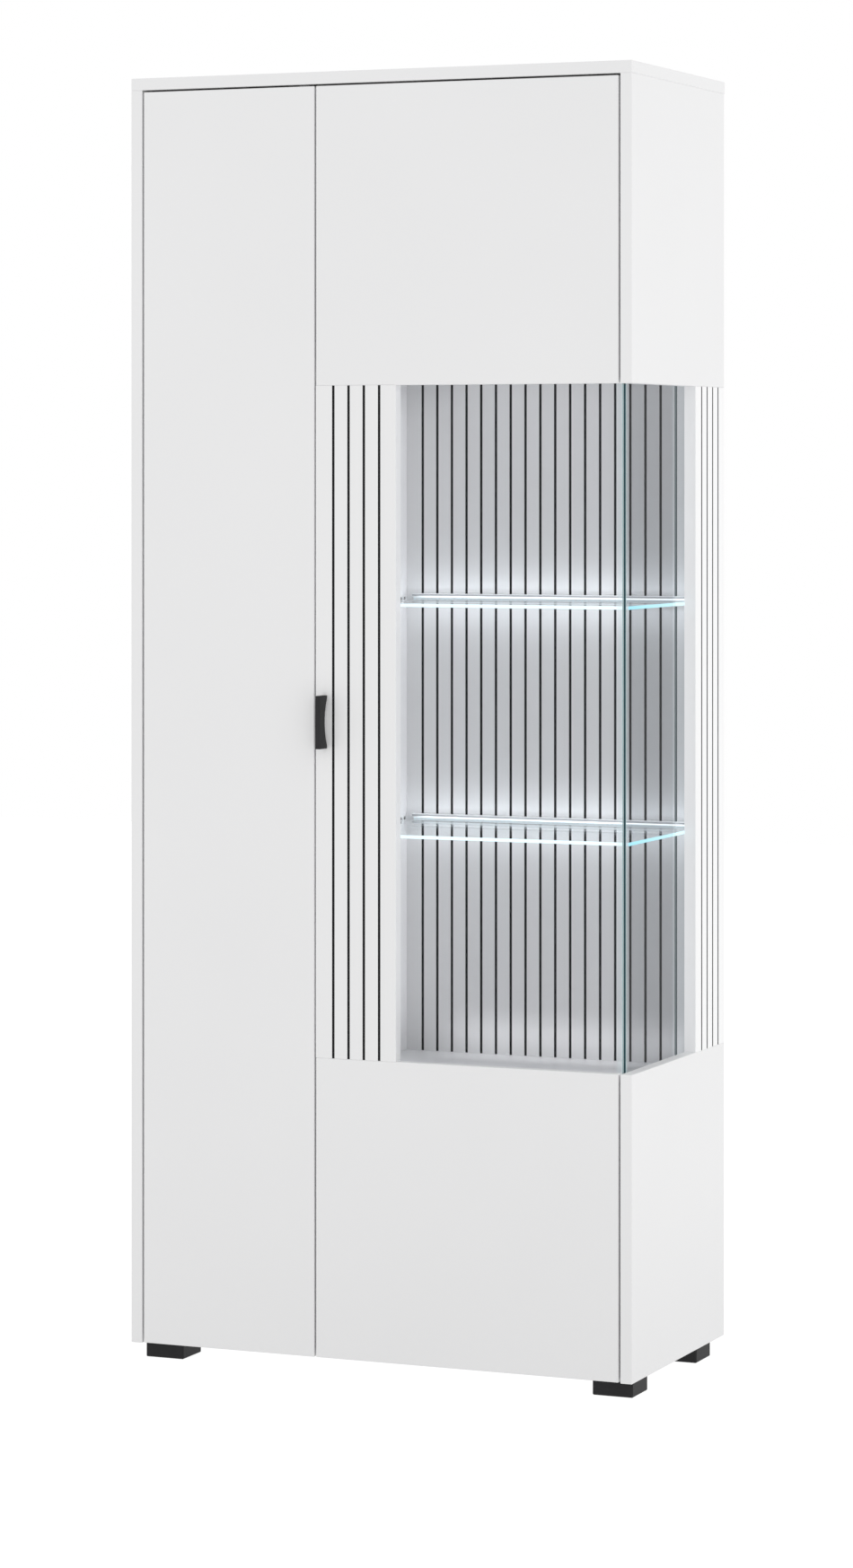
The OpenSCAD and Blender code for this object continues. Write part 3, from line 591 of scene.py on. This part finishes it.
def hardboard():
    finish, tree = newFinish("hardboard")
    place = objectPlace(tree)
    fibre = grain(tree, place, *hardboardSet["fibre"])
    cloud = grain(tree, place, *hardboardSet["cloud"])
    mottle = maths(tree, "MULTIPLY_ADD", cloud, hardboardSet["cloudShare"],
                   maths(tree, "MULTIPLY", fibre, hardboardSet["fibreShare"]))
    raw = blendColour(tree, span(tree, mottle, *hardboardSet["mottle"]),
                      hardboardSet["dark"], hardboardSet["light"])
    inner = maths(tree, "LESS_THAN", axes(tree, objectNormal(tree))[1], -0.5)
    show(tree, add(tree, "BsdfPrincipled", {
        "Base Color": blendColour(tree, inner, raw, hardboardSet["white"]),
        "Roughness": span(tree, inner, 0, 1, hardboardSet["rough"], hardboardSet["smooth"]),
        "Normal": relief(tree, fibre, hardboardSet["depth"]),
    }))
    return finish


def dressAll():
    dress(laminate(), "top_panel", "bottom_panel", "left_side_panel", "right_side_lower_panel",
          "right_side_upper_panel", "divider_panel", "display_floor_board",
          "display_ceiling_board", "closet_fixed_shelf", "closet_loose_shelves",
          "upper_loose_shelf", "left_door_panel", "right_door_lower_panel",
          "right_door_upper_panel")
    dressSlats()
    dress(groovePaint(), "door_strip_inlays", "side_strip_inlays", "back_panel_inlays")
    dress(windowGlass("doorGlass", 1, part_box("door_glass")[1].x, windowSet["doorEdge"]), "door_glass")
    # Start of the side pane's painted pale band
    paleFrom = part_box("right_side_slatted_strip")[0].y - windowSet["paleWide"]
    dress(windowGlass("sideGlass", 0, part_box("side_glass")[0].y, windowSet["sideEdge"], paleFrom),
          "side_glass")
    dress(shelfGlass(), "lower_glass_shelf", "upper_glass_shelf")
    dress(diffuser(), "light_bar_diffusers")
    dress(barMetal(), "light_bar_channels")
    dress(metal("nickel", nickelSet), "left_hinge_plates", "right_hinge_plates",
          "left_hinge_arms", "right_hinge_arms", "left_hinge_cups", "right_hinge_cups",
          "loose_shelf_pins", "glass_shelf_supports")
    dress(metal("zinc", zincSet), "cam_locks")
    dress(metal("screwSteel", steelSet), "cam_bolts", "foot_screws", "hinge_plate_screws",
          "left_cup_screws", "right_cup_screws", "handle_screws", "side_glass_clip_screws",
          "door_glass_clip_screws")
    dress(blackCoat("powderCoat", powderSet), "handle")
    dress(blackCoat("mouldedBlack", mouldSet), "feet", "light_lead_grommets")
    dress(softPlastic(), "side_glass_clips", "door_glass_clips", "left_door_stops",
          "right_door_stops")
    dress(beech(), "board_dowels", "door_strip_dowels")
    dress(hardboard(), "closet_back_sheet", "display_back_sheet")


dressAll()
print("finishes on", len(parts), "parts")


# Small pieces
def finishPiece(name, mesh, body, finish):
    shape = bpy.data.meshes.new(name)
    bmesh.ops.recalc_face_normals(mesh, faces=mesh.faces)
    mesh.to_mesh(shape)
    mesh.free()
    piece = bpy.data.objects.new(name, shape)
    scene.collection.objects.link(piece)
    shape.materials.append(finish)
    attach(piece, body)


# Nails that hold the back sheets
nailSet = {
    "head": 2.2 * mm,
    "crown": 0.6,
    "rise": 0.5 * mm,
    "inset": 9 * mm,
    "step": 130 * mm,
    "sides": 12,
}


def nailRow(start, end):
    count = max(1, round((end - start).length / nailSet["step"]))
    return [start.lerp(end, k / count) for k in range(count + 1)]


def nailPlaces():
    places = []
    for sheet in ("closet_back_sheet", "display_back_sheet"):
        low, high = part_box(sheet)
        inset = nailSet["inset"]
        left, right = low.x + inset, high.x - inset
        bottom, top = low.z + inset, high.z - inset
        for x in (left, right):
            places += nailRow(Vector((x, high.y, bottom)), Vector((x, high.y, top)))
        for z in (bottom, top):
            places += nailRow(Vector((left, high.y, z)), Vector((right, high.y, z)))[1:-1]
    return places


def addNails(finish):
    mesh = bmesh.new()
    for place in nailPlaces():
        turn = Matrix.Translation(place) @ Matrix.Rotation(math.radians(-90), 4, "X")
        bmesh.ops.create_cone(mesh, cap_ends=True, segments=nailSet["sides"],
                              radius1=nailSet["head"], radius2=nailSet["head"] * nailSet["crown"],
                              depth=nailSet["rise"], matrix=turn)
    finishPiece("backNails", mesh, "carcass", finish)


addNails(bpy.data.materials["screwSteel"])
print("small pieces made")

# Studio: pale floor, a surround that looks white but lights more from the right, and a soft key. The
# floor's glow that lights the cabinet is painted darker near it, as painted shade
studioSet = {
    "floor": 9.0,
    # painted shade: the floor's glow is darker near the cabinet
    "floorShadedNear": 0.63,
    "floorFar": 0.82,
    "floorSpan": (0.5, 2.4),
    "floorSeen": 0.94,
    "floorShade": (0.2, 0.2, 0.2, 1),
    "surround": (0.87, 0.87, 0.87, 1),
    "bright": (0.96, 0.96, 0.96, 1),
    "from": (0.80, -0.30, 0.40),
    "keySize": (2.0, 2.0),
    "keyPlace": (3.8, 0.1, 0.8),
    "keyAim": (0, 0, 1.0),
    "keyPower": 11.0,
}


def addSurround():
    surround = bpy.data.worlds.new("surround")
    surround.use_nodes = True
    tree = surround.node_tree
    tree.nodes.clear()
    toward = Vector(studioSet["from"]).normalized()
    ray = add(tree, "TexCoord").outputs["Generated"]
    side = add(tree, "VectorMath", {0: ray, 1: tuple(toward)}, operation="DOT_PRODUCT").outputs["Value"]
    shade = blendColour(tree, span(tree, side, -1.0, 1.0), studioSet["surround"], studioSet["bright"])
    seen = add(tree, "LightPath").outputs["Is Camera Ray"]
    light = add(tree, "Background", {"Color": blendColour(tree, seen, shade, (1, 1, 1, 1))})
    end = tree.nodes.new("ShaderNodeOutputWorld")
    tree.links.new(light.outputs[0], end.inputs["Surface"])
    scene.world = surround


def addFloor():
    mesh = bmesh.new()
    bmesh.ops.create_grid(mesh, x_segments=1, y_segments=1, size=studioSet["floor"])
    shape = bpy.data.meshes.new("floor")
    mesh.to_mesh(shape)
    mesh.free()
    floor = bpy.data.objects.new("floor", shape)
    scene.collection.objects.link(floor)
    finish, tree = newFinish("paleFloor")
    seen = add(tree, "LightPath").outputs["Is Camera Ray"]
    away = add(tree, "VectorMath", {0: objectPlace(tree)}, operation="LENGTH").outputs["Value"]
    near, far = studioSet["floorSpan"]
    # The floor's glow for all but camera rays darkens near the cabinet, as painted shade
    sent = span(tree, away, near, far, studioSet["floorShadedNear"], studioSet["floorFar"])
    soft = add(tree, "BsdfDiffuse", {"Color": studioSet["floorShade"]})
    pale = add(tree, "Emission", {"Strength": blend(tree, seen, sent, studioSet["floorSeen"])})
    show(tree, add(tree, "AddShader", {0: soft.outputs[0], 1: pale.outputs[0]}))
    shape.materials.append(finish)


def softLamp(name, size, power, place, colour=(1, 1, 1)):
    light = bpy.data.lights.new(name, "AREA")
    light.shape = "RECTANGLE"
    light.size, light.size_y = size
    light.energy = power
    light.color = colour
    lamp = bpy.data.objects.new(name, light)
    lamp.location = place
    lamp.visible_camera = False
    scene.collection.objects.link(lamp)
    return lamp


def aim(lamp, toward):
    lamp.rotation_euler = toward.to_track_quat("-Z", "Y").to_euler()


def addKey():
    key = softLamp("key", studioSet["keySize"], studioSet["keyPower"], studioSet["keyPlace"])
    aim(key, Vector(studioSet["keyAim"]) - key.location)


# Glow of the light bars on the slatted panel, above and below each shelf
glowSet = {
    "power": 0.052,
    "colour": (0.90, 0.955, 1.0),
    "off": 35 * mm,
    "over": 5 * mm,
    "width": 8 * mm,
    "tilt": 10,
}


def addGlow():
    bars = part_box("light_bar_diffusers")
    middle, length = (bars[0].x + bars[1].x) / 2, bars[1].x - bars[0].x
    tilt, over = math.radians(glowSet["tilt"]), glowSet["over"]
    for shelf in ("lower_glass_shelf", "upper_glass_shelf"):
        low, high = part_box(shelf)
        for z, up in ((high.z + over, 1), (low.z - over, -1)):
            glow = softLamp("glow", (length, glowSet["width"]), glowSet["power"],
                            (middle, high.y - glowSet["off"], z), glowSet["colour"])
            glow.visible_glossy = False
            aim(glow, Vector((0, math.cos(tilt), up * math.sin(tilt))))


# Soft panels near the display's walls stand in for the cool light that the bars spread. The first
# five values are their power in watts
spreadSet = {
    "front": 0.49,
    "ceiling": 0.19,
    "floor": 0.10,
    "side": 0.30,
    "cove": 0.03,
    "colour": (0.985, 0.985, 1.0),
    "in": 12 * mm,
    "shift": -30 * mm,
    "width": 1.1,
    "depth": 0.9,
    "frontHeight": 0.9,
    "frontRise": 0.05,
    "sideOff": 130 * mm,
    "sideBeam": 70,
    "sideHeight": 0.95,
    "sideDepth": 0.8,
    "sideBack": 0.13,
    "coveOff": 40 * mm,
    "coveTilt": 45,
}


def softPanel(side, size, place, turn, beam=180):
    panel = softLamp("spread" + side.capitalize(), size, spreadSet[side], place, spreadSet["colour"])
    panel.data.spread = math.radians(beam)
    panel.rotation_euler = [math.radians(angle) for angle in turn]
    panel.visible_glossy = False


def addSpread():
    low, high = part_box("door_glass")
    floor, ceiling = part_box("display_floor_board")[1].z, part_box("display_ceiling_board")[0].z
    back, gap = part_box("display_back_panel")[0].y, spreadSet["in"]
    x, width = (low.x + high.x) / 2 + spreadSet["shift"], (high.x - low.x) * spreadSet["width"]
    y, depth = (high.y + back) / 2, (back - high.y) * spreadSet["depth"]
    middle, height = (low.z + high.z) / 2, high.z - low.z
    softPanel("front", (width, height * spreadSet["frontHeight"]),
              (x, high.y + gap, middle + height * spreadSet["frontRise"]), (90, 0, 180))
    softPanel("ceiling", (width, depth), (x, y, ceiling - gap), (0, 0, 0))
    softPanel("floor", (width, depth), (x, y, floor + gap), (180, 0, 0))
    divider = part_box("divider_panel")[1].x
    softPanel("side", (height * spreadSet["sideHeight"], depth * spreadSet["sideDepth"]),
              (divider + spreadSet["sideOff"], y + depth * spreadSet["sideBack"], middle),
              (0, 90, 0), spreadSet["sideBeam"])
    cove = spreadSet["coveOff"]
    softPanel("cove", (width, cove / 2), (x, back - cove, floor + cove),
              (spreadSet["coveTilt"], 0, 0))


addSurround()
addFloor()
addKey()
addGlow()
addSpread()
scene.view_settings.view_transform = "Standard"
print("studio lit")
